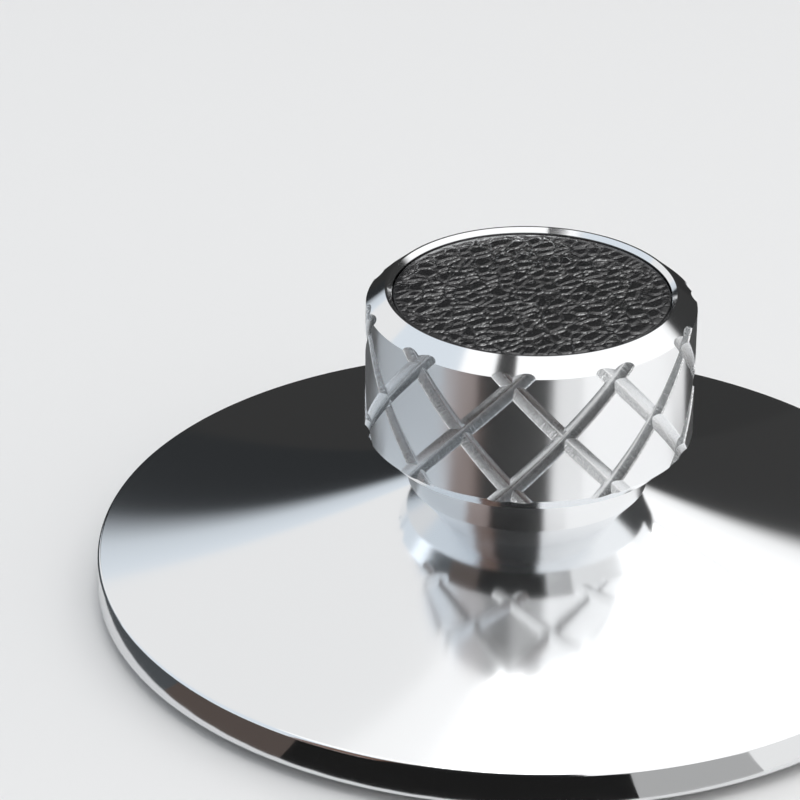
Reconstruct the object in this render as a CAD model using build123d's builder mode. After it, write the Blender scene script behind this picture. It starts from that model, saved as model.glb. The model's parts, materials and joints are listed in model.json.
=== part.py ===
"""Record weight clamp: a turned steel body with a milled diamond grip, a leather inlay and a rubber base pad.

Millimetres, +Z up. The origin is on the axis, at the level of the label that the weight stands on.
The body is one turning: a wide flared base, a short neck and a grip knob. A blind bore takes the spindle.
"""

import os
from math import radians, tan

from build123d import *

# Base: a thin rim below a shallow concave flare
base_diameter = 82.0
rim_height = 3.5  # upright edge of the base
flare_rise = 8.0  # from the rim's top to the foot of the neck
flare_radius = 176.0  # of the concave arc, seen in section
rim_edge_break = 0.3
neck_diameter = 22.8
neck_height = 3.8

# Grip knob
knob_diameter = 31.0
knob_height = 15.7
top_chamfer_width = 1.75  # seen from above
top_chamfer_drop = 1.5
bottom_chamfer = 1.6
lip_land = 0.2  # flat ring left at the very top
lip_bevel = 0.4  # inward bevel between the land and the leather

# Diamond grip: crossing helical grooves, milled with a ball-nosed cutter
groove_starts = 10  # of each hand
ball_diameter = 2.2
ball_flats = 9  # the ball's round is drawn with this many flats, one of them along the floor of each groove
groove_depth = 0.42  # of the left-hand grooves, cut first
second_pass_extra = 0.04  # the right-hand grooves go deeper, so their floors run on unbroken through the crossings
diamond_height = 10.6
diamond_centre_drop = 7.75  # from the knob's top to the middle row of crossings
diamond_turn = -7.4  # degrees from +X to a crossing of the middle row
cutter_overrun = 2.5  # how far the cutter's path runs on past the knob, above and below

# Leather inlay in the knob's top
leather_thickness = 1.2
leather_clearance = 0.05  # round the inlay

# Rubber pad, seated in a recess under the base
pad_thickness = 1.5
pad_proud = 1.0  # how far it stands out of its recess
pad_margin = 1.5  # from the base's edge to the recess
pad_clearance = 0.1  # round the pad
pad_hole_diameter = 12.0

# Spindle bore, blind, drilled from below
bore_diameter = 7.3  # a turntable's spindle measures about 7.15
bore_length = 19.0  # full-diameter length
bore_lead_in = 1.0
drill_point_angle = 118.0

# Radii and levels that follow
base_radius = base_diameter / 2
neck_radius = neck_diameter / 2
knob_radius = knob_diameter / 2
lip_radius = knob_radius - top_chamfer_width
inlay_recess_radius = lip_radius - lip_land - lip_bevel
pad_recess_radius = base_radius - pad_margin
bore_radius = bore_diameter / 2

rim_foot = pad_proud
rim_top = rim_foot + rim_height
neck_foot = rim_top + flare_rise
knob_foot = neck_foot + neck_height
knob_top = knob_foot + knob_height
inlay_floor = knob_top - lip_bevel - leather_thickness
pad_recess_floor = pad_thickness
bore_mouth = pad_recess_floor + bore_lead_in
bore_end = bore_mouth + bore_length
drill_point_height = bore_radius / tan(radians(drill_point_angle / 2))

# Half section of the turning, from the pad recess round the outside to the inlay recess and down the bore
with BuildPart() as body:
    with BuildSketch(Plane.XZ) as section:
        with BuildLine():
            Polyline(
                (0, bore_end + drill_point_height),
                (bore_radius, bore_end),
                (bore_radius, bore_mouth),
                (bore_radius + bore_lead_in, pad_recess_floor),
                (pad_recess_radius, pad_recess_floor),
                (pad_recess_radius, rim_foot),
                (base_radius, rim_foot),
                (base_radius, rim_top),
            )
            RadiusArc((base_radius, rim_top), (neck_radius, neck_foot), flare_radius)
            Polyline(
                (neck_radius, neck_foot),
                (neck_radius, knob_foot),
                (knob_radius - bottom_chamfer, knob_foot),
                (knob_radius, knob_foot + bottom_chamfer),
                (knob_radius, knob_top - top_chamfer_drop),
                (lip_radius, knob_top),
                (lip_radius - lip_land, knob_top),
                (inlay_recess_radius, knob_top - lip_bevel),
                (inlay_recess_radius, inlay_floor),
                (0, inlay_floor),
                (0, bore_end + drill_point_height),
            )
        make_face()
        rim_corners = section.vertices().group_by(Axis.X)[-1]
        chamfer(rim_corners, rim_edge_break)
    revolve(axis=Axis.Z)

# One groove is the path of the cutter's ball: its round section, carried along a helix outside the wall.
ball_radius = ball_diameter / 2
helix_pitch = groove_starts * diamond_height
path_foot = knob_foot - cutter_overrun
path_height = knob_height + 2 * cutter_overrun
middle_row = knob_top - diamond_centre_drop
turn_to_foot = (path_foot - middle_row) / helix_pitch * 360


def groove_cutter(lefthand, depth):
    """The solid that one pass of the ball cutter removes, turned to meet the middle row where that row starts."""
    hand = -1 if lefthand else 1
    start = diamond_turn + hand * turn_to_foot
    path_radius = knob_radius + ball_radius - depth
    with BuildPart() as cutter:
        with BuildLine() as path:
            Helix(helix_pitch, path_height, path_radius, (0, 0, path_foot), lefthand=lefthand)
        across_path = Plane(path.line @ 0, x_dir=(1, 0, 0), z_dir=path.line % 0)
        with BuildSketch(across_path):
            RegularPolygon(ball_radius, ball_flats, major_radius=False)
        sweep(is_frenet=True)
    return cutter.part.rotate(Axis.Z, start)


left_pass = groove_cutter(lefthand=True, depth=groove_depth)
right_pass = groove_cutter(lefthand=False, depth=groove_depth + second_pass_extra)
with body:
    for one_pass in (left_pass, right_pass):
        with PolarLocations(0, groove_starts):
            add(one_pass, mode=Mode.SUBTRACT)

with BuildPart() as leather_inlay:
    with BuildSketch(Plane.XY.offset(inlay_floor)):
        Circle(inlay_recess_radius - leather_clearance)
    extrude(amount=leather_thickness)

with BuildPart() as base_pad:
    with BuildSketch():
        Circle(pad_recess_radius - pad_clearance)
        Circle(pad_hole_diameter / 2, mode=Mode.SUBTRACT)
    extrude(amount=pad_thickness)

os.makedirs("parts", exist_ok=True)
for name, piece in (("body", body), ("leather_inlay", leather_inlay), ("base_pad", base_pad)):
    piece.part.label = name
    export_step(piece.part, f"parts/{name}.step")
    print(name, piece.part.bounding_box().size, "volume", round(piece.part.volume))
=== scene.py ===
# %% [markdown]
# # A record weight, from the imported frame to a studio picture
# The weight is one bright turned body with a milled diamond grip, a leather disc let into its top and a
# rubber pad under its base. The frame gives every piece its place, so each new mesh is built from the
# frame's own boxes and from the few sizes that a box can't tell.

# %% Load the frame
import json
from math import atan2, cos, degrees, hypot, pi, radians, sin, sqrt, tan

import bmesh
import bpy
import numpy as np
from mathutils import Matrix, Vector, noise

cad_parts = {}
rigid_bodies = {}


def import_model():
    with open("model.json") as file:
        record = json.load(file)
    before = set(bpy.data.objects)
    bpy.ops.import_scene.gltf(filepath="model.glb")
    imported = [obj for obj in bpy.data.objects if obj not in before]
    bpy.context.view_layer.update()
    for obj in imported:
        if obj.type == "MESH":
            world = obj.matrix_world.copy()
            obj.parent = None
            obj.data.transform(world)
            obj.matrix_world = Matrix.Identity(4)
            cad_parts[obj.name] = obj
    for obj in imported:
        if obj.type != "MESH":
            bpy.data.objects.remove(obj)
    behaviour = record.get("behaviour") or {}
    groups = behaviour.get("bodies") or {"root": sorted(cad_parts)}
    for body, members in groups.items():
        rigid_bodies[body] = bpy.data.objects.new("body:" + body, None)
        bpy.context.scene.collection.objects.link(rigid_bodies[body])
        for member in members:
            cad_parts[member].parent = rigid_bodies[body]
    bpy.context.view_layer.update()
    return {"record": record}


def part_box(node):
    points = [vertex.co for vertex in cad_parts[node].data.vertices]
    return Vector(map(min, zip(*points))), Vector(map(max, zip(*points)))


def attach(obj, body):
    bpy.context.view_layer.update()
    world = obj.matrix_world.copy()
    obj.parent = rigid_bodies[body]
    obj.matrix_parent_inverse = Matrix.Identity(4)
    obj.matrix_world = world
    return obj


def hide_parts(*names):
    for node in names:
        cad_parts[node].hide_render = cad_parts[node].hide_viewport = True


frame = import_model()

mm = 0.001
scene = bpy.context.scene
scene.view_settings.view_transform = "Standard"

# %% [markdown]
# ## Sizes
# A turned part is described by radii and levels. Most of them are corners of a node's box. The others are
# the maker's own choices, such as a chamfer or the width of the cutter, and they are written here once.

# %% Radii and levels read from the frame
body_low, body_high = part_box("body")
leather_low, leather_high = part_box("leather_inlay")
pad_low, pad_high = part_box("base_pad")
spindle_bore = next(m for m in frame["record"]["mounts"] if m["name"] == "spindle_bore")

base_radius = body_high.x
rim_foot = body_low.z
knob_top = body_high.z
leather_radius = leather_high.x
inlay_floor = leather_low.z
leather_top = leather_high.z
pad_radius = pad_high.x
pad_recess_floor = pad_high.z
bore_radius = spindle_bore["dims"]["r_mm"] * mm
bore_length = spindle_bore["dims"]["length_mm"] * mm
print("radii of base, leather and pad", [round(r / mm, 2) for r in (base_radius, leather_radius, pad_radius)], "mm")

# %% Sizes that the boxes can't tell
rim_height = 3.5 * mm
rim_edge_round = 0.3 * mm
flare_rise = 8.0 * mm
flare_radius = 176 * mm
neck_radius = 11.4 * mm
neck_height = 3.8 * mm
knob_radius = 15.5 * mm
top_chamfer_width = 1.75 * mm
top_chamfer_drop = 1.5 * mm
bottom_chamfer = 1.6 * mm
lip_land = 0.2 * mm
lip_bevel = 0.4 * mm
inlay_clearance = 0.05 * mm
pad_clearance = 0.1 * mm
pad_hole_radius = 6.0 * mm
bore_lead_in = 1.0 * mm
drill_half_angle = radians(59)

# %% Radii and levels that follow
rim_top = rim_foot + rim_height
neck_foot = rim_top + flare_rise
knob_foot = neck_foot + neck_height
lip_radius = knob_radius - top_chamfer_width
recess_radius = leather_radius + inlay_clearance
pad_recess_radius = pad_radius + pad_clearance
bore_mouth = pad_recess_floor + bore_lead_in
bore_end = bore_mouth + bore_length
drill_tip = bore_end + bore_radius / tan(drill_half_angle)
print("knob from", round(knob_foot / mm, 2), "to", round(knob_top / mm, 2), "mm")

# %% Sizes of the diamond grip
groove_starts = 10  # of each hand
ball_radius = 1.1 * mm
left_depth = 0.42 * mm
right_depth = 0.46 * mm
diamond_height = 10.6 * mm
diamond_centre_drop = 7.75 * mm
diamond_turn = radians(-7.4)
groove_lead = groove_starts * diamond_height
middle_row = knob_top - diamond_centre_drop
print("one turn of a groove climbs", round(groove_lead / mm, 1), "mm")

# %% [markdown]
# ## Camera
# A long lens looks down on the knob from about 28 degrees. The aim is worked backwards: the middle of the
# knob's top has to land on one chosen point of the picture, so the camera is pushed aside by that offset.

# %% Camera
picture_side = 800
focal_px = 4576.1
knob_px = (532.1, 289.4)
tilt_down = radians(27.606)
roll = radians(0.703)
distance = 426.8 * mm

camera = bpy.data.cameras.new("portrait_lens")
camera.sensor_width = 36
camera.lens = camera.sensor_width * focal_px / picture_side
camera.clip_start = 0.01
camera_object = bpy.data.objects.new("camera", camera)
scene.collection.objects.link(camera_object)
scene.camera = camera_object

turn = Matrix.Rotation(pi / 2 - tilt_down, 4, "X") @ Matrix.Rotation(roll, 4, "Z")
aside = (knob_px[0] - picture_side / 2) / focal_px * distance
above = -(knob_px[1] - picture_side / 2) / focal_px * distance
step_back = Matrix.Translation((-aside, -above, distance))
camera_object.matrix_world = Matrix.Translation((0, 0, knob_top)) @ turn @ step_back
lens_place = [round(c / mm, 1) for c in camera_object.matrix_world.translation]
print("lens", round(camera.lens, 1), "mm, camera at", lens_place)

# %% [markdown]
# ## Shader helpers
# Node trees read best as sums. `Value` wraps one socket, and its operators add the Math nodes, so a mask can
# be written as `1 - mask`. `Finish.node` adds any other node: its settings first, then its sockets.


# %% A socket that can be reckoned with
class Value:
    def __init__(self, finish, socket):
        self.finish, self.socket = finish, socket

    def math(self, operation, *others, clamp=False):
        settings = {"operation": operation, "use_clamp": clamp}
        return self.finish.node("ShaderNodeMath", settings, dict(enumerate((self, *others))))

    def __add__(self, other):
        return self.math("ADD", other)

    def __sub__(self, other):
        return self.math("SUBTRACT", other)

    def __mul__(self, other):
        return self.math("MULTIPLY", other)

    def __rsub__(self, other):
        return self.finish.node("ShaderNodeMath", {"operation": "SUBTRACT"}, {0: other, 1: self})

    __radd__, __rmul__ = __add__, __mul__


# %% A material and its nodes
class Finish:
    def __init__(self, name):
        self.material = bpy.data.materials.new(name)
        self.material.use_nodes = True
        self.tree = self.material.node_tree
        self.shader = self.tree.nodes["Principled BSDF"]

    def node(self, kind, settings=None, sockets=None, out=0):
        made = self.tree.nodes.new(kind)
        for name, value in (settings or {}).items():
            if name == "stops":
                ramp = made.color_ramp.elements
                stops = [ramp[0], ramp[1]] + [ramp.new(0.5) for _ in value[2:]]
                for stop, (position, colour) in zip(stops, value):
                    stop.position, stop.color = position, colour
            else:
                setattr(made, name, value)
        for name, value in (sockets or {}).items():
            self.feed(made.inputs[name], value)
        return Value(self, made.outputs[out])

    def feed(self, socket, value):
        if isinstance(value, Value):
            self.tree.links.new(value.socket, socket)
        else:
            socket.default_value = value

    def set(self, **sockets):
        for name, value in sockets.items():
            self.feed(self.shader.inputs[name.replace("_", " ")], value)


def soft_step(finish, value, start, end, before=0.0, after=1.0):
    """A smooth step from `before`, where the value is still at start, to `after`, where it has come to end."""
    reach = {"Value": value, "From Min": start, "From Max": end, "To Min": before, "To Max": after}
    return finish.node("ShaderNodeMapRange", {"interpolation_type": "SMOOTHSTEP"}, reach)


# %% [markdown]
# ## The turned body
# On a lathe the whole outside is one contour, so here it is one half section, spun round Z. The flare is a
# long shallow arc, and an arc is only its two ends and a radius. The corners that a tool would leave a
# little round get a vertex bevel before the spin, which is cheaper than bevelling the finished solid.

# %% Half section
class Arc:
    """A concave arc from start to end, both (r, z), with its centre above and outside the metal."""

    def __init__(self, start, end, radius):
        self.start, self.end, self.radius = Vector(start), Vector(end), radius
        chord = self.end - self.start
        across = Vector((chord.y, -chord.x)) / chord.length
        self.centre = (self.start + self.end) / 2 + across * sqrt(radius ** 2 - (chord.length / 2) ** 2)

    def points(self, steps):
        first, last = (atan2(*(p - self.centre).yx) for p in (self.start, self.end))
        return [self.centre + self.radius * Vector((cos(t), sin(t))) for t in np.linspace(first, last, steps + 1)]


flare = Arc((base_radius, rim_top), (neck_radius, neck_foot), flare_radius)
flare_steps = 40
underside = [
    (0, drill_tip),
    (bore_radius, bore_end),
    (bore_radius, bore_mouth),
    (bore_radius + bore_lead_in, pad_recess_floor),
    (pad_recess_radius, pad_recess_floor),
    (pad_recess_radius, rim_foot),
    (base_radius, rim_foot),
]
knob = [
    (neck_radius, knob_foot),
    (knob_radius - bottom_chamfer, knob_foot),
    (knob_radius, knob_foot + bottom_chamfer),
    (knob_radius, knob_top - top_chamfer_drop),
    (lip_radius, knob_top),
    (lip_radius - lip_land, knob_top),
    (recess_radius, knob_top - lip_bevel),
    (recess_radius, inlay_floor),
    (0, inlay_floor),
]
half_section = underside + [tuple(p) for p in flare.points(flare_steps)] + knob
print("half section of", len(half_section), "points")

# %% [markdown]
# Every piece here goes the same way: a bmesh is shaped, becomes a mesh object of its own name, and lies with
# its place in its mesh. A turned one also has its doubles merged, because the spin leaves a fan of vertices
# on the axis, and its normals worked out again, because a spin can turn a shell inside out.

# %% Spin it
weld = 0.001 * mm


def placed(bm, name, shelf=scene.collection):
    """The mesh object made of a bmesh, linked to a collection."""
    mesh = bpy.data.meshes.new(name)
    bm.to_mesh(mesh)
    bm.free()
    piece = bpy.data.objects.new(name, mesh)
    shelf.objects.link(piece)
    return piece


def spun(name, points, steps, closed=False, rounds=()):
    """A mesh object turned from (r, z) points. rounds lists (r, z, radius, segments) of corners to round."""
    bm = bmesh.new()
    vertices = [bm.verts.new((r, 0, z)) for r, z in points]
    for a, b in zip(vertices, vertices[1:] + ([vertices[0]] if closed else [])):
        bm.edges.new((a, b))
    for r, z, radius, segments in rounds:
        corner = min(bm.verts, key=lambda v: hypot(v.co.x - r, v.co.z - z))
        bmesh.ops.bevel(
            bm, geom=[corner], offset=radius, offset_type="OFFSET", affect="VERTICES",
            segments=segments, profile=0.5, material=-1,
        )
    bmesh.ops.spin(
        bm, geom=bm.verts[:] + bm.edges[:], axis=(0, 0, 1), cent=(0, 0, 0),
        steps=steps, angle=2 * pi, use_merge=True,
    )
    bmesh.ops.remove_doubles(bm, verts=bm.verts, dist=weld)
    bmesh.ops.recalc_face_normals(bm, faces=bm.faces)
    return placed(bm, name)


turning_steps, round_steps = 360, 4
rim_rounds = [(base_radius, level, rim_edge_round, round_steps) for level in (rim_top, rim_foot)]
turned_body = spun("turned_body", half_section, turning_steps, rounds=rim_rounds)
print("turned body", len(turned_body.data.polygons), "faces")

# %% [markdown]
# ## The diamond grip
# The real grooves are milled: a ball-nosed cutter follows a helix while the knob turns. The same thing done
# here is a round tube spun along a helix, used ten times each way as the tool of a Boolean. Displacing a
# fine grid would need far more faces and would still leave stepped edges.


# %% Paths of the grooves
class Groove:
    """The path of the ball's centre along one helix. hand is 1 for a right-hand helix and -1 for a left-hand one."""

    def __init__(self, hand, number, depth):
        self.hand, self.radius = hand, knob_radius + ball_radius - depth
        self.phase = diamond_turn + number * 2 * pi / groove_starts
        self.per_metre = hand * 2 * pi / groove_lead

    def at(self, z):
        turned = self.phase + self.per_metre * (z - middle_row)
        return np.stack([self.radius * np.cos(turned), self.radius * np.sin(turned), z], axis=-1)

    def nearest(self, points):
        """The path's point nearest to each point, by a few Newton steps on the height."""
        z = points[:, 2].copy()
        for _ in range(4):
            turned = self.phase + self.per_metre * (z - middle_row)
            radial = points[:, 0] * np.cos(turned) + points[:, 1] * np.sin(turned)
            across = points[:, 1] * np.cos(turned) - points[:, 0] * np.sin(turned)
            slope = (z - points[:, 2]) - self.radius * self.per_metre * across
            curve = 1 + self.radius * self.per_metre ** 2 * radial
            z -= slope / curve
        return self.at(z)


passes = ((-1, left_depth), (1, right_depth))
grooves = [Groove(hand, number, depth) for hand, depth in passes for number in range(groove_starts)]
print(len(grooves), "grooves in", len(passes), "passes")

# %% Helical cutters
cutter_overrun = 2.5 * mm
ball_sides, path_steps = 32, 36


def groove_cutter(groove, shelf):
    """The tube that the ball sweeps along one groove, with both ends closed."""
    bm = bmesh.new()
    foot, rise = knob_foot - cutter_overrun, knob_top - knob_foot + 2 * cutter_overrun
    sweep = groove.hand * rise / groove_lead * 2 * pi
    slope = atan2(rise, abs(sweep) * groove.radius)
    start = groove.phase + groove.hand * (foot - middle_row) / groove_lead * 2 * pi
    ring = bmesh.ops.create_circle(bm, segments=ball_sides, radius=ball_radius)["verts"]
    lean = Matrix.Rotation(-groove.hand * (pi / 2 - slope), 4, "X")
    bmesh.ops.transform(bm, verts=ring, matrix=Matrix.Translation((groove.radius, 0, 0)) @ lean)
    bmesh.ops.transform(bm, verts=ring, matrix=Matrix.Translation((0, 0, foot)) @ Matrix.Rotation(start, 4, "Z"))
    bmesh.ops.spin(
        bm, geom=bm.verts[:] + bm.edges[:], axis=(0, 0, 1), cent=(0, 0, 0),
        dvec=(0, 0, rise / path_steps), steps=path_steps, angle=sweep,
    )
    bmesh.ops.holes_fill(bm, edges=[e for e in bm.edges if e.is_boundary])
    bmesh.ops.recalc_face_normals(bm, faces=bm.faces)
    return placed(bm, "groove_cutter", shelf)


cutter_shelf = bpy.data.collections.new("cutters")
scene.collection.children.link(cutter_shelf)
for groove in grooves:
    groove_cutter(groove, cutter_shelf)

# %% [markdown]
# The body starts with three finishes: polished, milled and turned. The cutters carry the milled one, and the
# Boolean hands a cutter's finish on to the faces that it leaves, so no face has to be picked by hand. The
# modifier's result is kept as the body's own mesh, and the cutters have done their work.

# %% Mill the grooves
steel_slot, milled_slot, lathe_slot = 0, 1, 2
polished_steel = Finish("polished_steel")
milled_steel = Finish("milled_steel")
lathe_steel = Finish("lathe_steel")
for finish in (polished_steel, milled_steel, lathe_steel):
    turned_body.data.materials.append(finish.material)
for cutter in cutter_shelf.objects:
    cutter.data.materials.append(milled_steel.material)

milling = turned_body.modifiers.new("milling", "BOOLEAN")
milling.operation, milling.solver, milling.material_mode = "DIFFERENCE", "EXACT", "TRANSFER"
milling.operand_type, milling.collection = "COLLECTION", cutter_shelf
milled_result = turned_body.evaluated_get(bpy.context.evaluated_depsgraph_get())
cut = bpy.data.meshes.new_from_object(milled_result)
turned_body.modifiers.clear()
cut.name = turned_body.data.name
turned_body.data = cut
for cutter in list(cutter_shelf.objects):
    bpy.data.objects.remove(cutter)
bpy.data.collections.remove(cutter_shelf)
print("milled body", len(cut.polygons), "faces, milled", sum(p.material_index == milled_slot for p in cut.polygons))

# %% [markdown]
# ## True normals
# The Boolean leaves long, uneven faces, and normals averaged over those would ripple in a mirror finish.
# Every face here lies on a surface with a known normal: a cone or cylinder round Z, the flare's arc, or a
# tube round a helix. So each face corner gets its normal worked out, and the light runs over it unbroken.

# %% Read the cut mesh
sharp_angle = radians(30)


def read(collection, attribute, width, kind=float):
    values = np.empty(len(collection) * width, kind)
    collection.foreach_get(attribute, values)
    return values.reshape(-1, width) if width > 1 else values


cut.shade_smooth()
cut.set_sharp_from_angle(angle=sharp_angle)
corners = read(cut.corner_normals, "vector", 3)
places = read(cut.vertices, "co", 3)[read(cut.loops, "vertex_index", 1, int)]
loop_face = np.repeat(np.arange(len(cut.polygons)), read(cut.polygons, "loop_total", 1, int))
face_normal = read(cut.polygons, "normal", 3)[loop_face]
face_centre = read(cut.polygons, "center", 3)[loop_face]
milled = read(cut.polygons, "material_index", 1, int)[loop_face] == milled_slot
print(len(corners), "face corners,", int(milled.sum()), "of them milled")

# %% Normals of the turned faces
on_arc = 0.002 * mm  # how near to the flare's arc a corner of the flare lies
faces_up, faces_out = 0.9, 0.999  # how much of a normal points up on the flare, and outwards on the plain rim
tiny = 1e-9


def from_axis(points):
    return np.linalg.norm(points[:, :2], axis=1)


def away(points):
    """The horizontal direction from the axis to each point."""
    return points[:, :2] / np.maximum(from_axis(points)[:, None], tiny)


outward = (face_normal[:, :2] * away(face_centre)).sum(axis=1, keepdims=True)
cone_corners = np.concatenate([outward * away(places), face_normal[:, 2:]], axis=1)

from_centre = np.stack([from_axis(places), places[:, 2]], axis=1) - np.array(flare.centre)
flare_corners = np.concatenate([-from_centre[:, :1] * away(places), -from_centre[:, 1:]], axis=1) / flare_radius
between_levels = (face_centre[:, 2] > rim_top - rim_edge_round) & (face_centre[:, 2] < neck_foot)
near_arc = abs(np.linalg.norm(from_centre, axis=1) - flare_radius) < on_arc
on_flare = near_arc & between_levels & (face_normal[:, 2] > faces_up)

rounded = (from_axis(face_centre) > base_radius - rim_edge_round) & (outward[:, 0] < faces_out)
turned_corners = np.where(on_flare[:, None], flare_corners, cone_corners)
corners = np.where((rounded | milled)[:, None], corners, turned_corners)
print(int(on_flare.sum()), "corners on the flare,", int(rounded.sum()), "on the rim's rounds")

# %% Faces that keep the lathe's lines
# The knob's wall and the neck stay as the lathe left them. The flare and the chamfers are polished.
faces_sideways, on_neck = 0.1, 0.1 * mm
for face in cut.polygons:
    r, z = hypot(face.center.x, face.center.y), face.center.z
    upright = abs(face.normal.z) < faces_sideways and (r > lip_radius or abs(r - neck_radius) < on_neck)
    if face.material_index == steel_slot and upright and z > neck_foot:
        face.material_index = lathe_slot
print(sum(p.material_index == lathe_slot for p in cut.polygons), "faces keep the lathe's lines")

# %% [markdown]
# A groove's normals point at the ball's path, and a face belongs to the groove whose tube it lies on. The
# same reckoning gives each corner its place along and across its groove, in millimetres, which is kept as a
# UV map for the milled finish. An attribute says which of the two passes cut it.

# %% Normals and map of the grooves
off_tube = np.stack([
    abs(np.linalg.norm(groove.nearest(face_centre[milled]) - face_centre[milled], axis=1) - ball_radius)
    for groove in grooves
])
which = off_tube.argmin(axis=0)
milled_corner, milled_rows = places[milled], np.flatnonzero(milled)
groove_map = np.zeros((len(cut.loops), 2))
in_second_pass = np.zeros(len(cut.loops))
for index, groove in enumerate(grooves):
    mine = which == index
    rows = milled_rows[mine]
    centre = groove.nearest(milled_corner[mine])
    towards = centre - milled_corner[mine]
    corners[rows] = towards / np.linalg.norm(towards, axis=1, keepdims=True)
    climb = groove_lead / hypot(groove_lead, 2 * pi * groove.radius)
    depth_share = (corners[rows, :2] * away(centre)).sum(axis=1)
    side = np.sign(corners[rows, 2])
    groove_map[rows, 0] = centre[:, 2] / climb / mm
    groove_map[rows, 1] = side * np.arccos(np.clip(depth_share, -1, 1)) * ball_radius / mm
    in_second_pass[rows] = groove.hand > 0

corners /= np.maximum(np.linalg.norm(corners, axis=1, keepdims=True), tiny)
cut.normals_split_custom_set(corners.tolist())
cut.uv_layers.new(name="along_and_across").data.foreach_set("uv", groove_map.ravel())
cut.attributes.new("second_pass", "FLOAT", "CORNER").data.foreach_set("value", in_second_pass)
print("groove faces lie within", round(off_tube.min(axis=0).max() / mm, 4), "mm of their tubes")

# %% The body takes its node's place
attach(turned_body, "root")
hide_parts("body")

# %% [markdown]
# ## The leather inlay
# Pebbled leather is a relief: soft cells of uneven size with creases between them. Only part of that can be
# bump, because the disc is seen at a low angle, so the cells are real geometry: a grid is trimmed to the
# disc and lifted by cell noise. It is pressed flat along its edge, where it was cut and glued. An attribute
# remembers the creases for the material, which adds what is finer. The noise that bends the cells takes its
# seed from the clock unless it is given one, and then no two runs would be alike.

# %% Grain of the leather
grain_depth = 0.10 * mm
cell_size = 1.15 * mm
cell_stretch = 1.5  # how much longer a cell is along the grain
grain_angle = radians(52)
crease_width = 0.22  # in cells
warp, warp_fineness, warp_place = 0.4, 0.9, 5.0  # of the noise that bends the net of cells, in cells
grain_seed = 7
noise.seed_set(grain_seed)


def smooth(share):
    share = min(1.0, max(0.0, share))
    return share * share * (3 - 2 * share)


def grain_height(x, y):
    """The relief, from 0 in a crease to 1 on a cell."""
    along = (x * cos(grain_angle) + y * sin(grain_angle)) / (cell_stretch * cell_size)
    across = (y * cos(grain_angle) - x * sin(grain_angle)) / cell_size
    bend = noise.noise_vector(Vector((along * warp_fineness, across * warp_fineness, warp_place)))
    near, second = noise.voronoi(Vector((along, across, 0)) + warp * bend)[0][:2]
    return smooth((second - near) / crease_width)


print("relief at the middle", round(grain_height(0, 0), 3))

# %% Leather disc
leather_edge_round = 0.25 * mm
trimmed_edge = leather_edge_round * 0.4
pressed_edge = 0.9 * mm
grid_cells = 340

bm = bmesh.new()
bmesh.ops.create_grid(bm, x_segments=grid_cells, y_segments=grid_cells, size=leather_radius)
outside = [v for v in bm.verts if hypot(v.co.x, v.co.y) > leather_radius - trimmed_edge]
bmesh.ops.delete(bm, geom=outside, context="VERTS")
crease = bm.verts.layers.float.new("crease")
for v in bm.verts:
    r = hypot(v.co.x, v.co.y)
    grain, fade = grain_height(v.co.x, v.co.y), smooth((leather_radius - r) / pressed_edge)
    fall = max(0.0, r - (leather_radius - leather_edge_round)) / leather_edge_round
    sunk = leather_edge_round * (1 - sqrt(max(0.0, 1 - fall * fall)))
    v[crease] = (1 - grain) * fade
    v.co.z = leather_top - grain_depth * (1 - grain * fade) - sunk
print("grid of", len(bm.verts), "points")


# %% Skirt and underside of the disc
def drawn_out(bm):
    """The new vertices of an extrusion of the open edge."""
    made = bmesh.ops.extrude_edge_only(bm, edges=[e for e in bm.edges if e.is_boundary])["geom"]
    return [g for g in made if isinstance(g, bmesh.types.BMVert)]


for v in drawn_out(bm):
    v.co.z = 0
    v.co = v.co.normalized() * leather_radius
    v.co.z = leather_top - grain_depth - leather_edge_round
for v in drawn_out(bm):
    v.co.z = inlay_floor
bmesh.ops.holes_fill(bm, edges=[e for e in bm.edges if e.is_boundary])
bmesh.ops.recalc_face_normals(bm, faces=bm.faces)
leather_disc = placed(bm, "leather_disc")
leather_disc.data.shade_smooth()
black_leather = Finish("black_leather")
leather_disc.data.materials.append(black_leather.material)
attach(leather_disc, "root")
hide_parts("leather_inlay")
print("leather disc", len(leather_disc.data.polygons), "faces")

# %% [markdown]
# ## The base pad
# The pad is a plain rubber ring, cut from sheet, and all that shows of it is the dark line under the rim.
# It is spun from its section, with the small rounding that rubber always has at a cut edge.

# %% Rubber ring
pad_steps, pad_round, pad_round_steps = 180, 0.15 * mm, 3
pad_section = [
    (pad_hole_radius, pad_low.z),
    (pad_radius, pad_low.z),
    (pad_radius, pad_recess_floor),
    (pad_hole_radius, pad_recess_floor),
]
pad_rounds = [(r, pad_low.z, pad_round, pad_round_steps) for r in (pad_hole_radius, pad_radius)]
pad_ring = spun("pad_ring", pad_section, pad_steps, closed=True, rounds=pad_rounds)
pad_ring.data.shade_smooth()
pad_ring.data.set_sharp_from_angle(angle=sharp_angle)
black_rubber = Finish("black_rubber")
pad_ring.data.materials.append(black_rubber.material)
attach(pad_ring, "root")
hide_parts("base_pad")
print("pad ring", len(pad_ring.data.polygons), "faces")

# %% [markdown]
# ## Turned and polished steel
# The lathe leaves fine rings on the knob, which smear a reflection up and down and keep it sharp sideways.
# That is what anisotropy does: Blender's own tangent already runs round Z, and a quarter turn lays the smear
# across it. On top comes a bump of uneven rings, a function of one length only, so it is a 1D noise.

# %% Steel
steel_colour = (0.905, 0.915, 0.925, 1)
quarter_turn = 0.25


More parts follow.
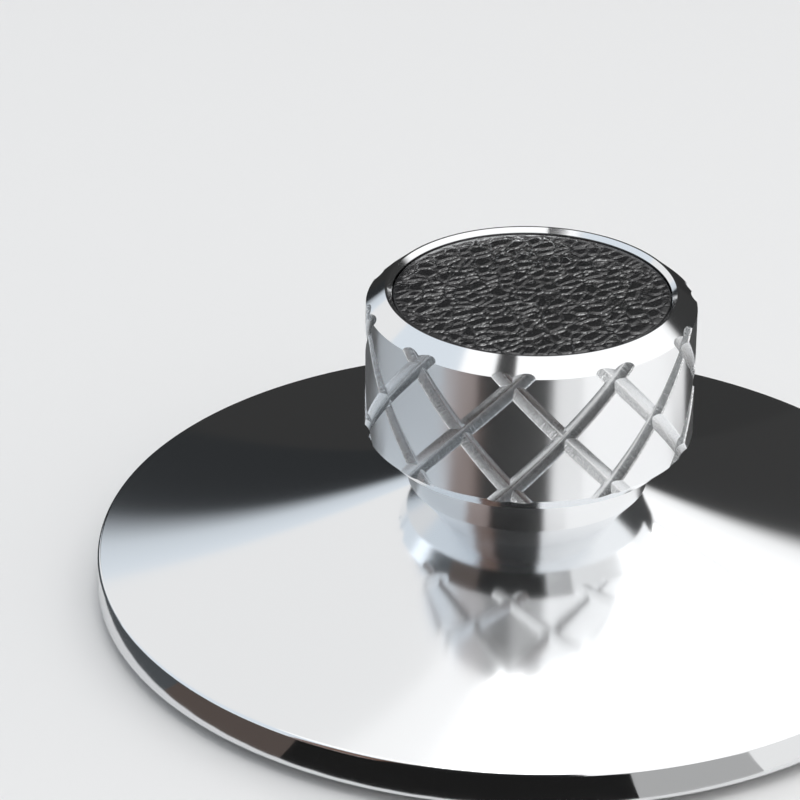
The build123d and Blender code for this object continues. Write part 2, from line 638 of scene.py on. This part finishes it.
def rings(finish, spacing, depth):
    """A bump of rings round Z: noise on radius plus height."""
    place = finish.node("ShaderNodeTexCoord", out=3)
    x, y, z = (finish.node("ShaderNodeSeparateXYZ", sockets={0: place}, out=i) for i in range(3))
    radius = (x * x + y * y).math("SQRT")
    fineness = {"W": (radius + z) * (1 / spacing), "Detail": 5.0, "Roughness": 0.7}
    line = finish.node("ShaderNodeTexNoise", {"noise_dimensions": "1D"}, fineness)
    return finish.node("ShaderNodeBump", sockets={"Strength": 1.0, "Distance": depth, "Height": line})


lathe_steel.set(
    Metallic=1.0, Roughness=0.31, Base_Color=steel_colour, Anisotropic=1.0, Anisotropic_Rotation=quarter_turn,
    Normal=rings(lathe_steel, 0.5 * mm, 0.0006 * mm),
)
polished_steel.set(
    Metallic=1.0, Roughness=0.10, Base_Color=steel_colour, Anisotropic=0.5, Anisotropic_Rotation=quarter_turn,
    Normal=rings(polished_steel, 0.8 * mm, 0.0003 * mm),
)
print("turned steel has", len(lathe_steel.tree.nodes), "nodes")

# %% [markdown]
# ## Milled steel
# A milled groove isn't polished. Each tooth of the cutter leaves a rib across it. The lower flank is painted
# darker than the upper one, and darker still in the second pass, which cuts over the first: painted shade,
# with the ribs mixed into it. The ball's own tip leaves a fine line along the middle, where the painted shade
# is lighter, and the groove's edges keep the bright steel. The groove map gives both directions
# in millimetres, so a rib is noise along the groove alone.

# %% Marks of the cutter
ribs_per_mm, rib_wander = 4.0, 1.5
wander_per_mm, mottle_per_mm = 2.0, 7.0
groove_place = milled_steel.node("ShaderNodeUVMap", {"uv_map": "along_and_across"})
along, across = (milled_steel.node("ShaderNodeSeparateXYZ", sockets={0: groove_place}, out=i) for i in range(2))
from_middle = across.math("ABSOLUTE")
wander = milled_steel.node(
    "ShaderNodeTexNoise", {"noise_dimensions": "2D"},
    {"Vector": groove_place, "Scale": wander_per_mm, "Detail": 3.0},
)
rib = milled_steel.node(
    "ShaderNodeTexNoise", {"noise_dimensions": "1D"},
    {"W": along * ribs_per_mm + wander * rib_wander, "Detail": 4.0, "Roughness": 0.7},
)
mottle = milled_steel.node(
    "ShaderNodeTexNoise", {"noise_dimensions": "2D"},
    {"Vector": groove_place, "Scale": mottle_per_mm, "Detail": 4.0, "Roughness": 0.7},
)
tooth = milled_steel.node(
    "ShaderNodeMapRange", {},
    {"Value": rib * 0.75 + mottle * 0.25, "From Min": 0.44, "From Max": 0.56},
)
flank = soft_step(milled_steel, across, -0.25, 0.35, before=0.25)
middle_line = soft_step(milled_steel, from_middle, 0.0, 0.11, before=1.0, after=0.0)
# Painted highlight: near the groove's edges the painted shade is taken off, so they stay bright.
unshaded_edge = soft_step(milled_steel, from_middle, 0.80, 0.92)
second_pass = milled_steel.node("ShaderNodeAttribute", {"attribute_name": "second_pass"}, out=2)

# %% Relief and painted shade of the grooves
# The first colour is the steel's own tone. The second is painted shade for the lower flank.
bright_cut, shaded_cut = (0.90, 0.91, 0.92, 1), (0.14, 0.15, 0.155, 1)
cut_depth = 0.028 * mm
relief = tooth * flank * 0.5 + mottle * 0.25 + middle_line * 0.7
milled_bump = milled_steel.node("ShaderNodeBump", sockets={"Strength": 1.0, "Distance": cut_depth, "Height": relief})
# Painted shade: the lower flank darkens, more in the second pass and along the ribs, less on the middle line and not
# at all at the edges.
flank_shade = flank * (0.15 + second_pass * 0.35 + tooth * 0.6)
shade = flank_shade.math("MULTIPLY", 1 - middle_line * 0.6 - unshaded_edge, clamp=True)
lit_and_shaded_cut = {"Factor": shade, 6: bright_cut, 7: shaded_cut}
milled_steel.set(
    Metallic=1.0, Roughness=0.26 + mottle * 0.10 - flank * 0.12,
    Base_Color=milled_steel.node("ShaderNodeMix", {"data_type": "RGBA"}, lit_and_shaded_cut, out=2),
    Normal=milled_bump,
)
print("milled steel has", len(milled_steel.tree.nodes), "nodes")

# %% [markdown]
# ## Leather and rubber
# Finished leather is nearly black on its cells and glints in its creases, where the polish gathers in short
# streaks that follow the grain. A Mapping node of the texture kind turns the coordinates to the grain and
# stretches them, so a plain noise comes out as streaks. They are a thin coat, which shines and adds no grey.

# %% Leather
pore_size, streak_length, streak_width = 0.30 * mm, 0.34 * mm, 0.11 * mm
hide_place = black_leather.node("ShaderNodeTexCoord", out=3)
in_crease = black_leather.node("ShaderNodeAttribute", {"attribute_name": "crease"}, out=2)
pores = black_leather.node(
    "ShaderNodeTexNoise", {},
    {"Vector": hide_place, "Scale": 1 / pore_size, "Detail": 4.0, "Roughness": 0.7},
)
along_grain = black_leather.node(
    "ShaderNodeMapping", {"vector_type": "TEXTURE"},
    {"Vector": hide_place, "Rotation": (0, 0, grain_angle), "Scale": (streak_length, streak_width, mm)},
)
streak = black_leather.node(
    "ShaderNodeTexNoise", {},
    {"Vector": along_grain, "Scale": 1.0, "Detail": 2.0, "Roughness": 0.6},
)
glint = soft_step(black_leather, streak, 0.50, 0.62).math("MULTIPLY", in_crease * 1.3 + 0.06, clamp=True)
hide_height = {"Strength": 1.0, "Distance": 0.03 * mm, "Height": pores * 0.25 + glint * 0.5}
black_leather.set(
    Base_Color=(0.005, 0.005, 0.006, 1), Roughness=0.22 + pores * 0.08, Specular_IOR_Level=0.35,
    Coat_Weight=glint, Coat_Roughness=0.15, Coat_IOR=1.9,
    Normal=black_leather.node("ShaderNodeBump", sockets=hide_height),
)
print("leather has", len(black_leather.tree.nodes), "nodes")

# %% Rubber
rubber_grain_size = 0.4 * mm
rubber_place = black_rubber.node("ShaderNodeTexCoord", out=3)
rubber_grain = black_rubber.node(
    "ShaderNodeTexNoise", {},
    {"Vector": rubber_place, "Scale": 1 / rubber_grain_size, "Detail": 3.0},
)
rubber_height = {"Strength": 0.6, "Distance": 0.02 * mm, "Height": rubber_grain}
black_rubber.set(
    Base_Color=(0.02, 0.02, 0.02, 1), Roughness=0.62 + rubber_grain * 0.16,
    Normal=black_rubber.node("ShaderNodeBump", sockets=rubber_height),
)
print("rubber has", len(black_rubber.tree.nodes), "nodes")

# %% [markdown]
# ## Floor and world
# The floor is a plain pale disc, far wider than the picture, and the world is the same pale grey.

# %% Floor and backdrop
floor_radius, floor_sides = 3.0, 64
bm = bmesh.new()
bmesh.ops.create_circle(bm, cap_ends=True, segments=floor_sides, radius=floor_radius)
floor = placed(bm, "floor")
floor_paint = Finish("floor_paint")
floor_paint.set(Base_Color=(0.80, 0.80, 0.80, 1), Roughness=0.9)
floor.data.materials.append(floor_paint.material)

world = bpy.data.worlds.new("room")
scene.world = world
world.use_nodes = True
room_light = world.node_tree.nodes["Background"].inputs
room_light["Color"].default_value = (0.8, 0.8, 0.8, 1)
room_light["Strength"].default_value = 0.5
print("floor", len(floor.data.polygons), "face")

# %% [markdown]
# ## Screens of light and of shade
# Polished metal shows its surroundings, so the light is built as things to be mirrored. It is a round tent
# with the object at its middle: each screen is one straight line, spun through part of a turn. A strip that
# stands up is seen in the walls and the flare, and one that lies flat, in the chamfers. Where a bright
# screen ends above the floor, its light comes up softly, or the flare would show a hard line.

# %% One screen
widest_step, fewest_steps = 5, 4
light_rise = 0.10
light_stops = ((0.0, 0.035), (0.12, 0.6), (0.45, 0.85), (1.0, 1.0))
table_level = 0.0005
faint, fierce = 0.6, 3


def upright(radius, foot, top):
    return (radius, foot), (radius, top)


def flat(level, near, far):
    return (near, level), (far, level)


def screen(name, bearings, ends, colour, strength, edge=None):
    """A strip of light: the line between two (r, z) ends, turned from one bearing to the other.

    Bearings are degrees from +Y towards +X. With an `edge`, the screen is dark below that height.
    """
    bm = bmesh.new()
    first, sweep = radians(90 - bearings[0]), radians(bearings[1] - bearings[0])
    bm.edges.new([bm.verts.new((r * cos(first), r * sin(first), z)) for r, z in ends])
    steps = max(fewest_steps, int(degrees(sweep) / widest_step))
    bmesh.ops.spin(bm, geom=bm.verts[:] + bm.edges[:], axis=(0, 0, 1), cent=(0, 0, 0), steps=steps, angle=-sweep)
    made = placed(bm, name)
    paint = Finish(name)
    light = (*colour, 1)
    if edge:
        height = paint.node("ShaderNodeSeparateXYZ", sockets={0: paint.node("ShaderNodeTexCoord", out=3)}, out=2)
        rise = paint.node("ShaderNodeMapRange", {}, {"Value": height, "From Min": edge, "From Max": edge + light_rise})
        stops = [(at, tuple(c * share for c in colour) + (1,)) for at, share in light_stops]
        light = paint.node("ShaderNodeValToRGB", {"stops": stops}, {"Fac": rise})
    paint.set(Base_Color=(0, 0, 0, 1), Roughness=1.0, Specular_IOR_Level=0.0)
    paint.set(Emission_Color=light, Emission_Strength=strength)
    made.data.materials.append(paint.material)
    made.visible_camera = False
    made.visible_shadow = False
    # A faint or fierce screen is there to be mirrored only, and so is one on the table.
    made.visible_diffuse = faint < strength < fierce and ends[1][1] > table_level
    return made


# %% [markdown]
# The wall of the tent is read round the object. The rear is dark low down and bright above, which splits the
# flare into a dark half and a bright one. A brown and a black card stand side by side in front, for the two
# strips on the knob.

# %% Wall of the tent
tent_radius, tent_top = 0.6, 1.04
cool_white, white, brown = (0.86, 0.93, 1.0), (1.0, 1.0, 1.0), (0.34, 0.21, 0.165)
walls = [
    ("rear_left_screen", (-28, -12), (0.0, tent_top), cool_white, 0.86, 0.25),
    ("side_left_screen", (-60, -28), (0.0, tent_top), cool_white, 0.86, 0.065),
    ("rear_middle_screen", (-12, 12), (0.0, tent_top), white, 1.0, 0.48),
    ("rear_right_screen", (12, 60), (0.0, tent_top), white, 1.15, 0.29),
    ("front_left_screen", (-122, -60), (0.0, tent_top), cool_white, 0.86, None),
    ("front_right_screen", (60, 166), (0.0, tent_top), white, 1.15, None),
    ("brown_card", (-145, -122), (0.0, 0.62), brown, 0.5, None),
    ("brown_card_top", (-137, -122), (0.62, tent_top), cool_white, 0.7, None),
    ("black_card", (-194, -145), (0.0, 0.85), white, 0.015, None),
]
for name, bearings, heights, colour, strength, edge in walls:
    screen(name, bearings, upright(tent_radius, *heights), colour, strength, edge)
print(len(walls), "screens in the wall")

# %% [markdown]
# The ceiling is mirrored by the top chamfer. A dark notch in it gives the chamfer its one dark patch, above
# the strips on the knob. The key light is a brighter panel inside the rear wall, for the glints of leather.

# %% Ceiling and key light
notch_near, notch_far = 0.12, 0.52
key_radius, key_foot, key_near, key_drop, key_strength = 0.59, 0.50, 0.2, 0.01, 4.0
screen("ceiling_screen", (-136, 200), flat(tent_top, 0.0, tent_radius), white, 1.15)
screen("ceiling_notch", (-160, -136), flat(tent_top, notch_near, notch_far), white, 0.02)
screen("ceiling_front", (-160, -136), flat(tent_top, notch_far, tent_radius), white, 1.0)
screen("key_panel", (-3, 45), upright(key_radius, key_foot, tent_top), white, key_strength, key_foot)
screen("key_ceiling", (-3, 45), flat(tent_top - key_drop, key_near, key_radius), white, key_strength)
print("ceiling at", tent_top, "m, key light of", key_strength)

# %% [markdown]
# The knob's wall is upright, so a camera that looks down on it sees the table mirrored there. Plates just
# over the floor give the wall its greys, and light the bottom chamfer and the neck. They start beyond the base.

# %% Plates on the table
table_edge, table_middle = 0.0425, 0.13
tan_grey, pink_grey = (0.30, 0.24, 0.215), (0.80, 0.72, 0.72)
plates = [
    ("rear_table", (-60, 60), (table_edge, tent_radius), white, 0.03),
    ("left_table_near", (-122, -60), (table_edge, table_middle), cool_white, 0.08),
    ("left_table_far", (-122, -60), (table_middle, tent_radius), cool_white, 1.5),
    ("right_table_near", (60, 148), (table_edge, table_middle), white, 0.85),
    ("front_table_near", (148, 166), (table_edge, table_middle), white, 0.42),
    ("right_table_far", (60, 166), (table_middle, tent_radius), white, 1.7),
    ("brown_table_near", (-145, -122), (table_edge, table_middle), tan_grey, 0.3),
    ("brown_table_far", (-145, -122), (table_middle, tent_radius), pink_grey, 1.6),
    ("black_table", (-194, -145), (table_edge, tent_radius), white, 0.012),
]
for name, bearings, radii, colour, strength in plates:
    screen(name, bearings, flat(table_level, *radii), colour, strength)
print(len(plates), "plates on the table")

# %% [markdown]
# ## Lamp
# One wide disc lamp hangs under the ceiling. It lays a soft shadow round the base and lights the floor. Its
# power follows from the radiance that it should have, so that a wider disc would be no brighter to look at.

# %% Lamp
lamp_radius, lamp_radiance, lamp_drop = 0.20, 4.5, 0.04
lamp = bpy.data.lights.new("overhead_lamp", "AREA")
lamp.shape, lamp.size = "DISK", 2 * lamp_radius
lamp.energy = lamp_radiance * pi * pi * lamp_radius ** 2
lamp_object = bpy.data.objects.new("overhead_lamp", lamp)
lamp_object.location.z = tent_top - lamp_drop
scene.collection.objects.link(lamp_object)
print("lamp of", round(lamp.energy, 2), "W")
